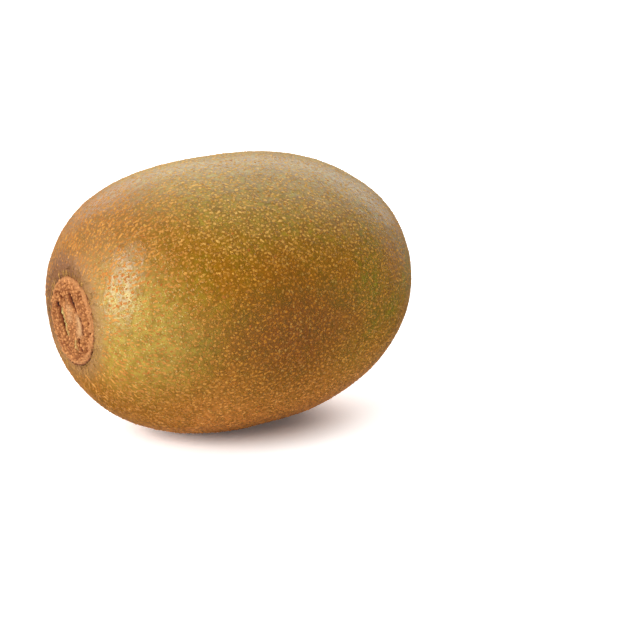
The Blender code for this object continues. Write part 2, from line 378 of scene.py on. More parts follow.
# %% Make the scar
def spun_plate(radius, thickness, rings, steps):
    """A round plate across X: its face at x = 0 has many rings, and its back lies behind it."""
    plate = bmesh.new()
    line = [plate.verts.new((0.0, radius * i / rings, 0.0)) for i in range(rings + 1)]
    line.append(plate.verts.new((thickness * 0.5, radius - 0.05 * MM, 0.0)))
    line.append(plate.verts.new((thickness, radius - SCAR_BACK_INSET, 0.0)))
    line.append(plate.verts.new((thickness, 0.0, 0.0)))
    edges = [plate.edges.new(pair) for pair in zip(line, line[1:])]
    geometry = [*line, *edges]
    bmesh.ops.spin(plate, geom=geometry, cent=(0, 0, 0), axis=(1, 0, 0), angle=math.tau, steps=steps, use_merge=True)
    bmesh.ops.remove_doubles(plate, verts=plate.verts, dist=0.001 * MM)
    return plate


scar_work = spun_plate(SCAR_RADIUS + 0.15 * MM, SCAR_THICKNESS, SCAR_RINGS, SCAR_STEPS)
scar_layers = {
    name: scar_work.verts.layers.float.new(name) for name in ("hollow", "grain", "from_axis", "green", "wood")
}
for corner in scar_work.verts:
    x, y, z = corner.co
    reach = math.hypot(y, z) / SCAR_RADIUS
    y, z = y * SCAR_STRETCH[0], z * SCAR_STRETCH[1] - SCAR_DROP
    corner[scar_layers["from_axis"]] = reach
    if x < 0.01 * MM:
        place = Vector((y, z)) / MM
        hollow = scar_hollow(place)
        corner[scar_layers["hollow"]] = hollow
        corner[scar_layers["grain"]] = grains(place, GRAIN_SIZE)
        corner[scar_layers["green"]] = max(near_line(place, line) for line in GREEN_LINES)
        corner[scar_layers["wood"]] = max(near_line(place, line) for line in WOOD_LINES)
        x -= scar_face(place, reach) - hollow * DEEP
    corner.co = middle + settled((SCAR_FACE + x, y, z))
stem_cork = add_piece("stem_cork", scar_work)

# %% [markdown]
# ## Lenticels
#
# The dots on a kiwi fruit are lenticels: small corky pores that stand a little out of the skin. They are the
# first thing one sees on a golden kiwi fruit, so they are real bumps and not only paint. Thousands of them
# would be slow to place one by one as objects. Instead one flat six-sided cone is stamped into a single mesh,
# each time with a slightly different outline, and each stamp carries a random tone for the paint.

# %% Spread spots evenly over the skin
def spread_spots(count, gap, keep):
    """Random places on the skin, at least a gap apart, where keep(direction) is true."""
    taken, spots = {}, []
    widest = max(STEM_HALF, BLOSSOM_HALF)
    tries = 0
    while len(spots) < count and tries < 60 * count:
        tries += 1
        direction = Vector([random.gauss(0.0, 1.0) for _ in range(3)]).normalized()
        if random.random() > (body_reach(direction) / widest) ** 2:
            continue
        if not keep(direction):
            continue
        place = direction * body_reach(direction)
        cell = tuple(int(math.floor(value / gap)) for value in place)
        beside = (tuple(map(sum, zip(cell, step))) for step in itertools.product((-1, 0, 1), repeat=3))
        around = [taken[key] for key in beside if key in taken]
        if all((other - place).length > gap for other in around):
            taken[cell] = place
            spots.append(direction)
    return spots


def on_open_skin(direction):
    """True away from the scar, the blossom pit and the resting flat."""
    spot = direction * body_reach(direction)
    from_axis = math.hypot(spot.y, spot.z)
    if spot.x < 0 and from_scar_axis(spot.y, spot.z) < SCAR_RADIUS + 0.7 * MM:
        return False
    if spot.x > 0 and from_axis < PIT_RADIUS * 0.8:
        return False
    return (middle + settled(spot)).z > 0.15 * MM


def seat_on_skin(direction):
    """Place, outward normal and direction towards the nearer end, for something that sits on the skin."""
    target = skin_place(direction)
    place, normal, _, _ = skin_tree.find_nearest(target)
    end = Vector((-1.0 if direction.x < 0 else 1.0, 0.0, 0.0))
    along = (end - normal * end.dot(normal)).normalized()
    return place, normal, along


# %% Stamp copies of a small shape into one mesh
def stamp_all(name, template, seats):
    """One mesh from many copies of a template. Each seat is (matrix, tone, roughness of the outline)."""
    stamp = bpy.data.meshes.new(name + "_stamp")
    template.to_mesh(stamp)
    template.free()
    tone_of = stamp.attributes.new("tone", "FLOAT", "POINT")
    shape = [corner.co.copy() for corner in stamp.vertices]
    work = bmesh.new()
    for matrix, tone, ragged in seats:
        for corner, plain in zip(stamp.vertices, shape):
            uneven = plain * (1.0 + random.uniform(-ragged, ragged))
            corner.co = matrix @ uneven
        tone_of.data.foreach_set("value", [tone] * len(shape))
        work.from_mesh(stamp)
    bpy.data.meshes.remove(stamp)
    return work


def seat_matrix(place, normal, along, length, width, height, sink):
    """A matrix that lays X along the meridian and Z along the normal."""
    side = normal.cross(along)
    turn = Matrix((along, side, normal)).transposed().to_4x4()
    return Matrix.Translation(place - normal * sink) @ turn @ Matrix.Diagonal((length, width, height, 1.0))


# %% Make the lenticels
LENTICEL_COUNT = 11000
LENTICEL_GAP = 0.72 * MM
OFF_MIDDLE_GROWTH = 0.22     # the lenticels of the upper and lower side are larger by this share
TWIN_SHARE = 0.30            # of the larger lenticels, how many have grown into a neighbour
RAGGED = 0.34                # how uneven the outlines of lenticels and flecks are
SINK = 0.2                   # how much of their height is below the skin
CRISP = math.radians(70)     # edges sharper than this stay sharp


def off_the_rim(bare, full):
    """A test for open skin that lets ever fewer spots through, from the full to the bare distance off the scar."""
    def keep(direction):
        spot = direction * body_reach(direction)
        from_rim = from_scar_axis(spot.y, spot.z) - SCAR_RADIUS
        if spot.x < 0 and random.random() > smooth_step(bare, full, from_rim):
            return False
        return on_open_skin(direction)
    return keep


def lenticel_seats():
    for direction in spread_spots(LENTICEL_COUNT, LENTICEL_GAP, off_the_rim(1.6 * MM, 5.5 * MM)):
        place, normal, along = seat_on_skin(direction)
        share = random.random() ** 1.3
        off_middle = smooth_step(2 * MM, 12 * MM, abs(place.z - middle.z - 1 * MM))
        size = (0.15 + 0.105 * share) * MM * (1.0 + OFF_MIDDLE_GROWTH * off_middle)
        near_end = smooth_step(0.62, 0.95, abs(direction.x))
        stretch = 1.1 + random.uniform(0.0, 0.7) + 1.1 * near_end * random.random()
        lean = Matrix.Rotation(random.uniform(-0.9, 0.9) * (1.0 - 0.7 * near_end), 3, normal)
        height = size * random.uniform(0.22, 0.42)
        tone = min(1.0, 0.3 * share + 0.8 * random.random())
        yield seat_matrix(place, normal, lean @ along, size * stretch, size, height, height * SINK), tone, RAGGED
        if share > 0.4 and random.random() < TWIN_SHARE:
            beside = place + (lean @ along) * size * random.uniform(1.2, 1.9)
            beside += normal.cross(along) * size * random.gauss(0, 0.5)
            twin, twin_normal, _, _ = skin_tree.find_nearest(beside)
            size *= random.uniform(0.5, 0.8)
            yield seat_matrix(twin, twin_normal, lean @ along, size * 1.2, size, height, height * SINK), tone, RAGGED


def flat_cone(segments):
    """A cone 1 wide on either side and 1 high, that stands on its base."""
    cone = bmesh.new()
    stand = Matrix.Translation((0.0, 0.0, 0.5))
    bmesh.ops.create_cone(cone, cap_ends=True, segments=segments, radius1=1, radius2=0, depth=1, matrix=stand)
    return cone


lenticel_list = list(lenticel_seats())
lenticels = add_piece("lenticels", stamp_all("lenticels", flat_cone(6), lenticel_list), CRISP)

# %% [markdown]
# Between the lenticels lies a finer scurf. Its flecks are made in the same way from a cone with one side less.

# %% Make the flecks
FLECK_COUNT = 22000
FLECK_GAP = 0.40 * MM


def fleck_seats():
    for direction in spread_spots(FLECK_COUNT, FLECK_GAP, off_the_rim(0.8 * MM, 4.5 * MM)):
        place, normal, along = seat_on_skin(direction)
        size = random.uniform(0.07, 0.12) * MM
        lean = Matrix.Rotation(random.uniform(-1.2, 1.2), 3, normal)
        height = size * random.uniform(0.2, 0.4)
        length = size * random.uniform(1.0, 1.9)
        seat = seat_matrix(place, normal, lean @ along, length, size, height, height * SINK)
        yield seat, 0.75 * random.random(), RAGGED


flecks = add_piece("flecks", stamp_all("flecks", flat_cone(5), fleck_seats()), CRISP)

# %% [markdown]
# The skin round each larger lenticel is browner than the rest. The skin's corners lie close enough together
# to hold that as an attribute: each corner gets a value that rises towards the nearest large lenticel.

# %% Mark the skin round the lenticels
HALO_RADIUS = 0.75 * MM
SMALLEST_WITH_HALO = 0.17 * MM
skin_corners = KDTree(len(fruit_skin.data.vertices))
for corner in fruit_skin.data.vertices:
    skin_corners.insert(corner.co, corner.index)
skin_corners.balance()
halo_values = [0.0] * len(fruit_skin.data.vertices)
for matrix, _, _ in lenticel_list:
    width = matrix.col[1].length
    if width < SMALLEST_WITH_HALO:
        continue
    for _, index, distance in skin_corners.find_range(matrix.translation, HALO_RADIUS):
        near = 1.0 - distance / HALO_RADIUS
        halo_values[index] = max(halo_values[index], near * (0.4 + width / (0.6 * MM)))
fruit_skin.data.attributes.new("near_lenticel", "FLOAT", "POINT").data.foreach_set("value", halo_values)
print("skin corners near a lenticel:", sum(value > 0 for value in halo_values))

# %% [markdown]
# ## Rust spots
#
# On the shoulder next to the stalk, some lenticels have grown into each other and left wider rust spots. They
# are made as the lenticels are, but from a cone with more sides, so that their outline can be ragged.

# %% Make the rust spots
RUST_GROUP = Vector((-30.2, -12.1, 8.6)) * MM      # the middle of the group, from the fruit's middle
RUST_GROUP_SPREAD = 2.2 * MM
RUST_IN_GROUP, RUST_ELSEWHERE = 36, 60
RUST_HEIGHT, RUST_SINK = 0.10 * MM, 0.03 * MM
RUST_RAGGED = 0.22                                 # how uneven their outlines are


def rust_seats():
    directions = []
    while len(directions) < RUST_IN_GROUP:
        stray = Vector([random.gauss(0.0, RUST_GROUP_SPREAD) for _ in range(3)])
        direction = (RUST_GROUP + stray).normalized()
        if on_open_skin(direction):
            directions.append(direction)
    directions += spread_spots(RUST_ELSEWHERE, 4.0 * MM, on_open_skin)
    for direction in directions:
        place, normal, along = seat_on_skin(direction)
        size = random.uniform(0.16, 0.36) * MM
        lean = Matrix.Rotation(random.uniform(-1.5, 1.5), 3, normal)
        length = size * random.uniform(1.0, 1.6)
        seat = seat_matrix(place, normal, lean @ along, length, size, RUST_HEIGHT, RUST_SINK)
        yield seat, random.random(), RUST_RAGGED


rust_spot = bmesh.new()
bmesh.ops.create_cone(rust_spot, cap_ends=True, segments=14, radius1=1.0, radius2=0.62, depth=1.0)
rust_spots = add_piece("rust_spots", stamp_all("rust_spots", rust_spot, rust_seats()), CRISP)

# %% [markdown]
# ## Hairs
#
# A golden kiwi fruit looks bald, but short stiff hairs are left round the scar, where nothing rubbed them
# off, and a thin down lies on both ends. Each hair is a three-sided cone with two more rings, bent over so
# that it lies along the skin. The hairs are stamped into one mesh as the lenticels are.

# %% Make the hairs
HAIR_THICKNESS = 0.035      # of a hair's length
HAIR_RISE = 0.42            # how high a hair would stand, of its length, if it did not bend over
HAIR_BEND = 0.55
FRINGE_HAIRS = 300
DOWN_HAIRS = 900
DOWN_GAP = 0.45 * MM


def hair_shape():
    """One hair, 1 long, that rises from the middle and bends over along X."""
    hair = bmesh.new()
    root, tip = HAIR_THICKNESS, HAIR_THICKNESS * 0.3
    bmesh.ops.create_cone(hair, cap_ends=True, segments=3, radius1=root, radius2=tip, depth=1.0)
    long_edges = [edge for edge in hair.edges if abs(edge.verts[0].co.z - edge.verts[1].co.z) > 0.5]
    bmesh.ops.subdivide_edges(hair, edges=long_edges, cuts=2)
    for corner in hair.verts:
        reach = corner.co.z + 0.5
        rise = HAIR_RISE * reach * (1.0 - HAIR_BEND * reach)
        corner.co = Vector((reach, corner.co.y, rise + corner.co.x))
    return hair


def fringe_seats():
    """Hairs in a ring round the scar, pointing away from it."""
    for _ in range(FRINGE_HAIRS):
        turn = random.uniform(0.0, math.tau)
        radius = SCAR_RADIUS + random.uniform(0.5, 1.6) * MM
        across = radius * math.cos(turn) * SCAR_STRETCH[0]
        rise = radius * math.sin(turn) * SCAR_STRETCH[1] - SCAR_DROP
        direction = Vector((-STEM_HALF * 0.97, across, rise)).normalized()
        place, normal, along = seat_on_skin(direction)
        length = random.uniform(0.6, 1.5) * MM
        lean = Matrix.Rotation(random.gauss(0.0, 0.25), 3, normal)
        seat = seat_matrix(place, normal, lean @ -along, length, length, length, 0.02 * MM)
        yield seat, random.random(), 0.0


def down_seats():
    """Thin down that lies towards the middle of the fruit, on both ends."""
    def on_ends(direction):
        return on_open_skin(direction) and random.random() < smooth_step(0.72, 1.0, abs(direction.x))
    for direction in spread_spots(DOWN_HAIRS, DOWN_GAP, on_ends):
        place, normal, along = seat_on_skin(direction)
        length = random.uniform(0.5, 1.1) * MM
        lean = Matrix.Rotation(random.gauss(0.0, 0.3), 3, normal)
        seat = seat_matrix(place, normal, lean @ -along, length, length * 0.7, length * 0.5, 0.01 * MM)
        yield seat, random.random(), 0.0


stem_fringe = add_piece("stem_fringe", stamp_all("stem_fringe", hair_shape(), fringe_seats()))
end_down = add_piece("end_down", stamp_all("end_down", hair_shape(), down_seats()))

# %% [markdown]
# ## The withered flower
#
# At the other end sits what is left of the flower: a small hard button with some thirty styles on it, dried
# dark and curled. Each style is a chain of circles, bridged into a tube. The button is a flattened ball.

# %% Make the withered styles
BUTTON_RADIUS = 1.5 * MM
BUTTON_HEIGHT = 0.9 * MM
STYLE_COUNT = 34
STYLE_THICKNESS = 0.30 * MM
STYLE_STEPS = 6
STYLE_SIDES = 6
BUTTON_FACE = BLOSSOM_HALF - 1.0 * MM


def style_line(index):
    """The middle line of one style, from its root in the button to its curled tip."""
    turn = math.tau * (index + random.uniform(-0.3, 0.3)) / STYLE_COUNT
    length = random.uniform(1.5, 2.5) * MM
    root = BUTTON_RADIUS * (0.25, 0.5, 0.75)[index % 3]
    rise = random.uniform(0.35, 0.75) + 0.25 * (1 - (index % 3) / 2)
    swirl = random.uniform(-0.9, 0.9)
    curl = random.uniform(0.2, 0.7)
    points = []
    for step in range(STYLE_STEPS + 1):
        share = step / STYLE_STEPS
        away = root + length * (0.85 - 0.25 * rise) * share * (1.0 - 0.3 * curl * share)
        stand = length * rise * math.sin(math.pi * 0.5 * share) * (1.0 - curl * 0.55 * share)
        height = BUTTON_FACE + 0.15 * MM + stand
        angle = turn + swirl * share * share * 0.7
        points.append(Vector((height, away * math.cos(angle), away * math.sin(angle))))
    return points


def add_tube(work, points, thickness):
    """Adds a closed tube along the points, thinner towards its tip."""
    rings = []
    for i, point in enumerate(points):
        ahead = (points[min(i + 1, len(points) - 1)] - points[max(i - 1, 0)]).normalized()
        place = Matrix.Translation(point) @ ahead.to_track_quat("Z", "Y").to_matrix().to_4x4()
        radius = thickness / 2 * (1.0 - 0.35 * i / len(points)) * random.uniform(0.8, 1.2)
        rings.append(bmesh.ops.create_circle(work, segments=STYLE_SIDES, radius=radius, matrix=place)["verts"])
    for ring, following in zip(rings, rings[1:]):
        both = set(ring) | set(following)
        edges = {edge for corner in both for edge in corner.link_edges if edge.other_vert(corner) in both}
        bmesh.ops.bridge_loops(work, edges=[edge for edge in edges if len(edge.link_faces) < 2])
    for ring in (rings[0], rings[-1]):
        bmesh.ops.contextual_create(work, geom=ring)


tuft_work = bmesh.new()
button_squash = Matrix.Diagonal((BUTTON_HEIGHT * 0.6 / BUTTON_RADIUS, 1.0, 1.0, 1.0))
button = Matrix.Translation((BUTTON_FACE + BUTTON_HEIGHT * 0.3, 0.0, 0.0)) @ button_squash
bmesh.ops.create_icosphere(tuft_work, subdivisions=4, radius=BUTTON_RADIUS, matrix=button)
for corner in tuft_work.verts:
    corner.co.x += 0.10 * MM * noise.noise(corner.co / (0.4 * MM))
for index in range(STYLE_COUNT):
    add_tube(tuft_work, style_line(index), STYLE_THICKNESS)
for corner in tuft_work.verts:
    corner.co = middle + settled(corner.co)
style_tuft = add_piece("style_tuft", tuft_work)

# %% [markdown]
# ## Paint
#
# Blender paints with nodes: boxes that each do one step, joined by links. A few helpers keep the recipes below
# short. The one used most lays coats of colour over each other, as a painter glazes: each coat has a mask that
# says where it shows and a strength that says how much. Colours are written as a screen shows them, from 0 to
# 255, and turned into the linear values that a shader works with.

# %% Helpers for nodes
def tint(red, green, blue):
    """A display colour, 0 to 255, as the linear colour that a shader works with."""
    return tuple(((value / 255 + 0.055) / 1.055) ** 2.4 for value in (red, green, blue)) + (1.0,)


def add(tree, kind, inputs=None, **settings):
    """Adds a node, changes its settings, and fills its inputs with values or joins them to other nodes."""
    node = tree.nodes.new(kind)
    for name, value in settings.items():
        setattr(node, name, value)
    for key, value in (inputs or {}).items():
        if isinstance(value, bpy.types.NodeSocket):
            tree.links.new(value, node.inputs[key])
        else:
            node.inputs[key].default_value = value
    return node


def math_node(tree, operation, first, second=0.0, clamp=False):
    return add(tree, "ShaderNodeMath", {0: first, 1: second}, operation=operation, use_clamp=clamp).outputs[0]


def vector_node(tree, operation, first, second, result=0):
    return add(tree, "ShaderNodeVectorMath", {0: first, 1: second}, operation=operation).outputs[result]


def fade(tree, value, low, high):
    """0 where the value is low, 1 where it is high, smoothly between."""
    inputs = {"Value": value, "From Min": low, "From Max": high}
    return add(tree, "ShaderNodeMapRange", inputs, interpolation_type="SMOOTHSTEP").outputs["Result"]


def mix_colour(tree, share, first, second):
    """The first colour where the share is 0, and the second where it is 1."""
    return add(tree, "ShaderNodeMix", {0: share, 6: first, 7: second}, data_type="RGBA").outputs[2]


def attribute(tree, name):
    """A value that the mesh carries at each corner."""
    return add(tree, "ShaderNodeAttribute", attribute_name=name).outputs["Fac"]


print("half grey on a screen is this linear value:", round(tint(128, 128, 128)[0], 3))


# %% Helpers for coats of colour
def coats(tree, ground, *layers):
    """Lays coats over a ground colour, one after the other. Each coat is (mask, strength, colour)."""
    colour = ground
    for mask, strength, over in layers:
        share = mask if strength == 1.0 else math_node(tree, "MULTIPLY", mask, strength)
        colour = mix_colour(tree, share, colour, over)
    return colour


def thinned(tree, mask, full, lost, where):
    """A mask at full strength, which loses some of it where another mask is."""
    strength = math_node(tree, "SUBTRACT", full, math_node(tree, "MULTIPLY", where, lost))
    return math_node(tree, "MULTIPLY", mask, strength)


def new_material(name):
    """A material, its nodes, its shader, and the place on the object, on which every pattern here is laid."""
    material = bpy.data.materials.new(name)
    material.use_nodes = True
    tree = material.node_tree
    place = add(tree, "ShaderNodeTexCoord").outputs["Object"]
    return material, tree, tree.nodes["Principled BSDF"], place


def finish(tree, shader, colour, roughness, ior):
    """Joins the colour to the shader. The roughness is a number, or a mask that changes over the surface."""
    tree.links.new(colour, shader.inputs["Base Color"])
    if isinstance(roughness, bpy.types.NodeSocket):
        tree.links.new(roughness, shader.inputs["Roughness"])
    else:
        shader.inputs["Roughness"].default_value = roughness
    shader.inputs["IOR"].default_value = ior


def relieve(tree, shader, height, strength, depth):
    """Lets light fall on a relief that is too fine for the mesh."""
    bump = add(tree, "ShaderNodeBump", {"Height": height, "Strength": strength, "Distance": depth})
    tree.links.new(bump.outputs["Normal"], shader.inputs["Normal"])


def paint(material, *pieces):
    for piece in pieces:
        piece.data.materials.clear()
        piece.data.materials.append(material)
        print(f"{piece.name} is painted with {material.name}: {len(material.node_tree.nodes)} nodes")


# %% [markdown]
# ## Effects that several paints share
#
# An effect that more than one paint needs is a node group: it is built once, has named sockets, and each paint
# gives it values of its own. There are four here. Mottle makes soft clouds from noise. Freckles makes separate
# spots from cells, each with a size and a tone of its own. Streaks makes fine lines from end to end, from noise
# that is stretched along the fruit. Near spot marks the surroundings of one place.

# %% Helpers for groups
def new_group(name, inputs, outputs):
    """A group with named sockets. Each input has a number to start from, or None where it is a vector."""
    group = bpy.data.node_groups.new(name, "ShaderNodeTree")
    for label, value in inputs.items():
        kind = "NodeSocketVector" if value is None else "NodeSocketFloat"
        socket = group.interface.new_socket(label, in_out="INPUT", socket_type=kind)
        if value is not None:
            socket.default_value = value
    for label in outputs:
        group.interface.new_socket(label, in_out="OUTPUT", socket_type="NodeSocketFloat")
    print(f"group {name}: {', '.join(inputs)} -> {', '.join(outputs)}")
    return group, group.nodes.new("NodeGroupInput").outputs, group.nodes.new("NodeGroupOutput").inputs


def contrasted(group, value, contrast):
    """A value from 0 to 1, pushed away from its middle."""
    pushed = math_node(group, "MULTIPLY", math_node(group, "SUBTRACT", value, 0.5), contrast)
    return math_node(group, "ADD", pushed, 0.5, clamp=True)


def use(tree, group, place, **values):
    """Puts a group into a material's tree with its own values."""
    node = add(tree, "ShaderNodeGroup", node_tree=group)
    tree.links.new(place, node.inputs["Vector"])
    for name, value in values.items():
        node.inputs[name].default_value = value
    return node.outputs


# %% Group: mottle
def mottle_group():
    """Soft clouds between 0 and 1."""
    sockets = {"Vector": None, "Size": 5 * MM, "Contrast": 2.0, "Detail": 2.0}
    group, given, out = new_group("mottle", sockets, ["Value"])
    scale = math_node(group, "DIVIDE", 1.0, given["Size"])
    cloud = add(group, "ShaderNodeTexNoise", {"Vector": given["Vector"], "Scale": scale, "Detail": given["Detail"]})
    group.links.new(contrasted(group, cloud.outputs["Fac"], given["Contrast"]), out["Value"])
    return group


mottle = mottle_group()


# %% Group: freckles
def freckle_group():
    """Separate round spots of uneven size: a mask, and a random tone for each spot."""
    sockets = {"Vector": None, "Spacing": 1 * MM, "Radius": 0.25, "Softness": 0.08}
    group, given, out = new_group("freckles", sockets, ["Mask", "Tone"])
    scale = math_node(group, "DIVIDE", 1.0, given["Spacing"])
    cells = add(group, "ShaderNodeTexVoronoi", {"Vector": given["Vector"], "Scale": scale})
    chance = add(group, "ShaderNodeSeparateColor", {"Color": cells.outputs["Color"]}).outputs
    radius = math_node(group, "MULTIPLY", given["Radius"], math_node(group, "POWER", chance[0], 0.7))
    inner = math_node(group, "SUBTRACT", radius, given["Softness"])
    group.links.new(fade(group, cells.outputs["Distance"], radius, inner), out["Mask"])
    group.links.new(chance[1], out["Tone"])
    return group


freckles = freckle_group()


# %% Group: streaks
def streak_group():
    """Fine lines that run along the fruit from end to end, like combed fibres."""
    sockets = {"Vector": None, "Around": 30.0, "Length": 4 * MM, "Contrast": 2.0}
    group, given, out = new_group("streaks", sockets, ["Value"])
    from_middle = vector_node(group, "SUBTRACT", given["Vector"], tuple(middle))
    across = vector_node(group, "MULTIPLY", from_middle, (0.0, 1.0, 1.0))
    ring = add(group, "ShaderNodeVectorMath", {0: across}, operation="NORMALIZE").outputs[0]
    wide = add(group, "ShaderNodeVectorMath", {0: ring, "Scale": given["Around"]}, operation="SCALE").outputs[0]
    along = add(group, "ShaderNodeSeparateXYZ", {0: from_middle}).outputs["X"]
    shift = add(group, "ShaderNodeCombineXYZ", {"X": math_node(group, "DIVIDE", along, given["Length"])})
    where = vector_node(group, "ADD", wide, shift.outputs[0])
    cloud = add(group, "ShaderNodeTexNoise", {"Vector": where, "Scale": 1.0, "Detail": 2.0})
    group.links.new(contrasted(group, cloud.outputs["Fac"], given["Contrast"]), out["Value"])
    return group


streaks = streak_group()


# %% Group: near spot
def near_spot_group():
    """A mask that is 1 close to a centre and fades to 0 away from it."""
    sockets = {"Vector": None, "Centre": None, "Near": 5 * MM, "Far": 20 * MM}
    group, given, out = new_group("near_spot", sockets, ["Mask"])
    away = vector_node(group, "DISTANCE", given["Vector"], given["Centre"], "Value")
    group.links.new(fade(group, away, given["Far"], given["Near"]), out["Mask"])
    return group


near_spot = near_spot_group()

# %% [markdown]
# ## Paint of the skin
#
# A golden kiwi fruit is never one brown. It is green-gold on the shoulder, olive above, rust-brown below and on
# one flank, and dull round the scar, and on all of that lie clouds, fibres and scurf. Some coats also carry painted
# light: the green-gold shoulder is partly a painted glow round the highlight, the lighter top is partly painted
# sheen, the lighter underside is partly painted light from the table, the brown flank is partly painted shade, and
# the dark patch at the scar's upper side is painted shade. Each of these is one coat here, from the widest to the
# finest. A picture wrapped round the fruit could do the same, but it would blur close up and show a seam. The skin
# has a satin gloss, which gets duller where it is scurfy and at the edges.

# %% Where the skin changes colour
PALE_AND_HIGHLIT_SHOULDER = skin_place(Vector((-0.90, -0.43, 0.02)).normalized())     # the palest place: the shoulder's own green-gold with a painted glow round the highlight
BROWN_AND_SHADED_FLANK = skin_place(Vector((-0.16, -0.98, -0.10)).normalized())      # the brownest place: partly the skin's own brown, partly painted shade
SCAR_CENTRE = middle + settled((SCAR_FACE, 0.0, 0.0))
SCAR_SHADE_CENTRE = SCAR_CENTRE + Vector((0.0, 3.0, 2.5)) * MM                  # painted shade: a darker, purple-brown patch at the scar's upper side
SKIN_IOR = 1.45
print("palest place, mm:", [round(value / MM, 1) for value in PALE_AND_HIGHLIT_SHOULDER])


def level(tree, place, axis, low, high):
    """A mask that rises between two distances from the fruit's middle, along one axis."""
    along = add(tree, "ShaderNodeSeparateXYZ", {0: place}).outputs[axis]
    start = middle["XYZ".index(axis)]
    return fade(tree, along, start + low, start + high)


# %% Paint the skin
def skin_masks(tree, place):
    """The masks of the skin's coats, by name."""
    from_scar = vector_node(tree, "DISTANCE", place, tuple(SCAR_CENTRE), "Value")
    return {
        "patches": use(tree, mottle, place, Size=7 * MM, Contrast=4.0, Detail=3.0)["Value"],
        "clouds": use(tree, mottle, place, Size=1.4 * MM, Contrast=3.6, Detail=3.0)["Value"],
        "fibres": use(tree, streaks, place, Around=34.0, Length=2.6 * MM, Contrast=3.0)["Value"],
        "grain": use(tree, streaks, place, Around=46.0, Length=0.80 * MM, Contrast=4.0)["Value"],
        "halo": attribute(tree, "near_lenticel"),
        "above": level(tree, place, "Z", 9 * MM, 23 * MM),
        "under": level(tree, place, "Z", -4 * MM, -22 * MM),
        "stem_end": level(tree, place, "X", -14 * MM, -31 * MM),
        "pale": use(tree, near_spot, place, Centre=PALE_AND_HIGHLIT_SHOULDER, Near=5 * MM, Far=19 * MM)["Mask"],
        "brown": use(tree, near_spot, place, Centre=BROWN_AND_SHADED_FLANK, Near=3 * MM, Far=21 * MM)["Mask"],
        "around_scar": fade(tree, from_scar, 13.0 * MM, 8.4 * MM),
        "scar_shade": use(tree, near_spot, place, Centre=SCAR_SHADE_CENTRE, Near=6.5 * MM, Far=10.5 * MM)["Mask"],
    }


def skin_material():
    material, tree, shader, place = new_material("kiwi_skin")
    mask = skin_masks(tree, place)
    pale, clouds = mask["pale"], mask["clouds"]
    fine = use(tree, freckles, place, Spacing=0.66 * MM, Radius=0.46, Softness=0.12)
    tiny = use(tree, freckles, place, Spacing=0.52 * MM, Radius=0.50, Softness=0.22)
    rubbed_end = math_node(tree, "SUBTRACT", mask["stem_end"], math_node(tree, "MULTIPLY", pale, 0.6), clamp=True)
    fine_colour = mix_colour(tree, fine["Tone"], tint(166, 98, 18), tint(198, 150, 58))
    fine_colour = mix_colour(tree, pale, fine_colour, tint(152, 96, 30))
    tiny_colour = mix_colour(tree, pale, tint(180, 122, 34), tint(182, 152, 84))
    colour = coats(
        tree,
        mix_colour(tree, mask["patches"], tint(126, 114, 3), tint(154, 104, 3)),    # olive and brown
        (mask["above"], 1.0, tint(153, 137, 42)),         # greener and lighter above: partly the skin's own tone, partly painted sheen
        (mask["under"], 1.0, tint(208, 130, 60)),         # orange-brown below, and lighter there partly as painted light from the table
        (mask["brown"], 1.0, tint(120, 66, 0)),           # the brown flank: partly its own brown, partly painted shade
        (mask["stem_end"], 0.85, tint(116, 74, 8)),
        (pale, 1.0, tint(154, 133, 50)),                  # the green-gold shoulder: partly its own colour, partly a painted glow round the highlight
        (clouds, 0.60, tint(106, 76, 3)),
        (thinned(tree, mask["grain"], 0.40, 0.25, pale), 1.0, tint(98, 64, 2)),
        (thinned(tree, mask["halo"], 0.75, 0.55, pale), 1.0, tint(138, 78, 4)),
        (math_node(tree, "MULTIPLY", mask["fibres"], rubbed_end), 0.5, tint(116, 72, 16)),
        (fine["Mask"], 0.5, fine_colour),
        (tiny["Mask"], 0.5, tiny_colour),
        (mask["around_scar"], 0.75, tint(134, 96, 62)),   # dull and greyish round the scar
        # painted shade at the scar's upper side
        (mask["scar_shade"], 0.9, tint(104, 68, 42)),
    )
    rough = add(tree, "ShaderNodeMapRange", {"Value": fine["Mask"], "To Min": 0.30, "To Max": 0.72}).outputs["Result"]
    facing = add(tree, "ShaderNodeLayerWeight", {"Blend": 0.5}).outputs["Facing"]
    dull_edge = math_node(tree, "MULTIPLY", fade(tree, facing, 0.65, 0.95), 0.38)
    finish(tree, shader, colour, math_node(tree, "ADD", rough, dull_edge, clamp=True), SKIN_IOR)
    relief = math_node(tree, "ADD", math_node(tree, "MULTIPLY", fine["Mask"], 0.6), tiny["Mask"])
    relief = math_node(tree, "ADD", relief, math_node(tree, "MULTIPLY", clouds, 0.8))
    relieve(tree, shader, relief, 0.85, 0.07 * MM)
    return material


paint(skin_material(), fruit_skin)

# %% [markdown]
# ## Paint of the lenticels
#
# Cork is dry and matt. The lenticels are darker and rustier where the skin is pale, and lighter than the skin
# elsewhere. The random tone that each stamp carries picks its colour between a darker and a lighter one, and
# the pair of colours changes over the fruit with the skin below it. As on the skin, the lighter pairs on the top
# and the underside are partly painted sheen and painted light from the table, and the darker pair on the brown
# flank is partly painted shade.

